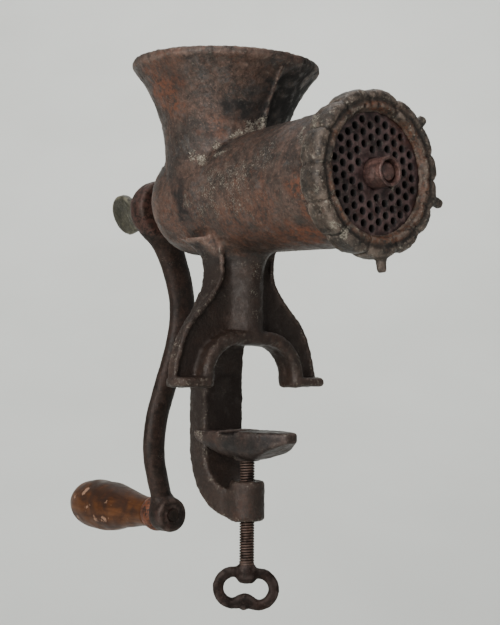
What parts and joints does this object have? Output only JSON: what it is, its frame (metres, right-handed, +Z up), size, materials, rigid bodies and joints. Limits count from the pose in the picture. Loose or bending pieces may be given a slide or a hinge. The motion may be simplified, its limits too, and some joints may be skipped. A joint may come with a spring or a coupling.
{
  "type": "hand-cranked meat mincer",
  "caption": "Cast-iron table mincer with flared hopper, lobed ring nut over a perforated plate, hand crank with wooden grip, and a screw clamp on a C-shaped strap.",
  "frame": {"origin": "on the table seat, in the plane of the feet's undersides, where the clamp screw's axis crosses it", "axes": "+Z up along the clamp screw, the barrel along Y with its perforated plate towards -Y and its crank at +Y"},
  "size_m": [0.1024, 0.2836, 0.2938],
  "materials": {
    "casting": "aged, thin rust",
    "crank_iron": "aged, smooth",
    "clamp_iron": "aged, smooth",
    "plate_steel": "tarnished",
    "screw_steel": "rusted",
    "thumb_brass": "tarnished",
    "grip_wood": "worn, bare"
  },
  "bodies": {
    "body": {"body_casting": "casting", "plate_locating_stub": "casting"},
    "feed": {"feed_screw": "casting", "cutter_stud": "plate_steel", "cutter_knife": "plate_steel", "thrust_washer": "plate_steel"},
    "crank": {"crank_arm": "crank_iron", "handle_pin": "crank_iron", "handle_collar": "crank_iron", "grip_washer": "plate_steel"},
    "thumbscrew": {"crank_thumbscrew": "thumb_brass"},
    "grip": {"handle_grip": "grip_wood"},
    "plate": {"grinding_plate": "plate_steel", "plate_bush": "plate_steel"},
    "ring": {"ring_nut": "casting"},
    "pad": {"clamp_pad": "clamp_iron"},
    "clamp": {"clamp_screw": "screw_steel", "pad_washer": "screw_steel", "clamp_key": "clamp_iron"}
  },
  "joints": [
    {"name": "crank_turn", "type": "hinge", "parent": "body", "child": "feed", "pos_m": [0, 0.08, 0.1026], "axis": [0, 1, 0], "continuous": true},
    {"name": "crank_draw_off", "type": "slide", "parent": "feed", "child": "crank", "axis": [0, 1, 0], "range_m": [0, 0.012]},
    {"name": "thumbscrew_turn", "type": "hinge", "parent": "crank", "child": "thumbscrew", "pos_m": [0, 0.1, 0.1026], "axis": [0, 1, 0], "range_deg": [0, 2880]},
    {"name": "grip_spin", "type": "hinge", "parent": "crank", "child": "grip", "pos_m": [0.00642, 0.13, -0.07418], "axis": [0, 1, 0], "continuous": true},
    {"name": "plate_draw_off", "type": "slide", "parent": "body", "child": "plate", "axis": [0, -1, 0], "range_m": [0, 0.0075]},
    {"name": "ring_turn", "type": "hinge", "parent": "plate", "child": "ring", "pos_m": [0, -0.09, 0.1026], "axis": [0, -1, 0], "range_deg": [0, 1080]},
    {"name": "pad_lift", "type": "slide", "parent": "body", "child": "pad", "axis": [0, 0, 1], "range_m": [-0.0069, 0.01975]},
    {"name": "clamp_turn", "type": "hinge", "parent": "pad", "child": "clamp", "pos_m": [0, 0, -0.06], "axis": [0, 0, 1], "range_deg": [-1764, 5040]}
  ],
  "couplings": [
    {"joint": "thumbscrew_turn", "follows": "crank_draw_off", "rad_per_m": 4188.8},
    {"joint": "plate_draw_off", "follows": "ring_turn", "m_per_rad": 0.00039789},
    {"joint": "clamp_turn", "follows": "pad_lift", "rad_per_m": 4453}
  ]
}
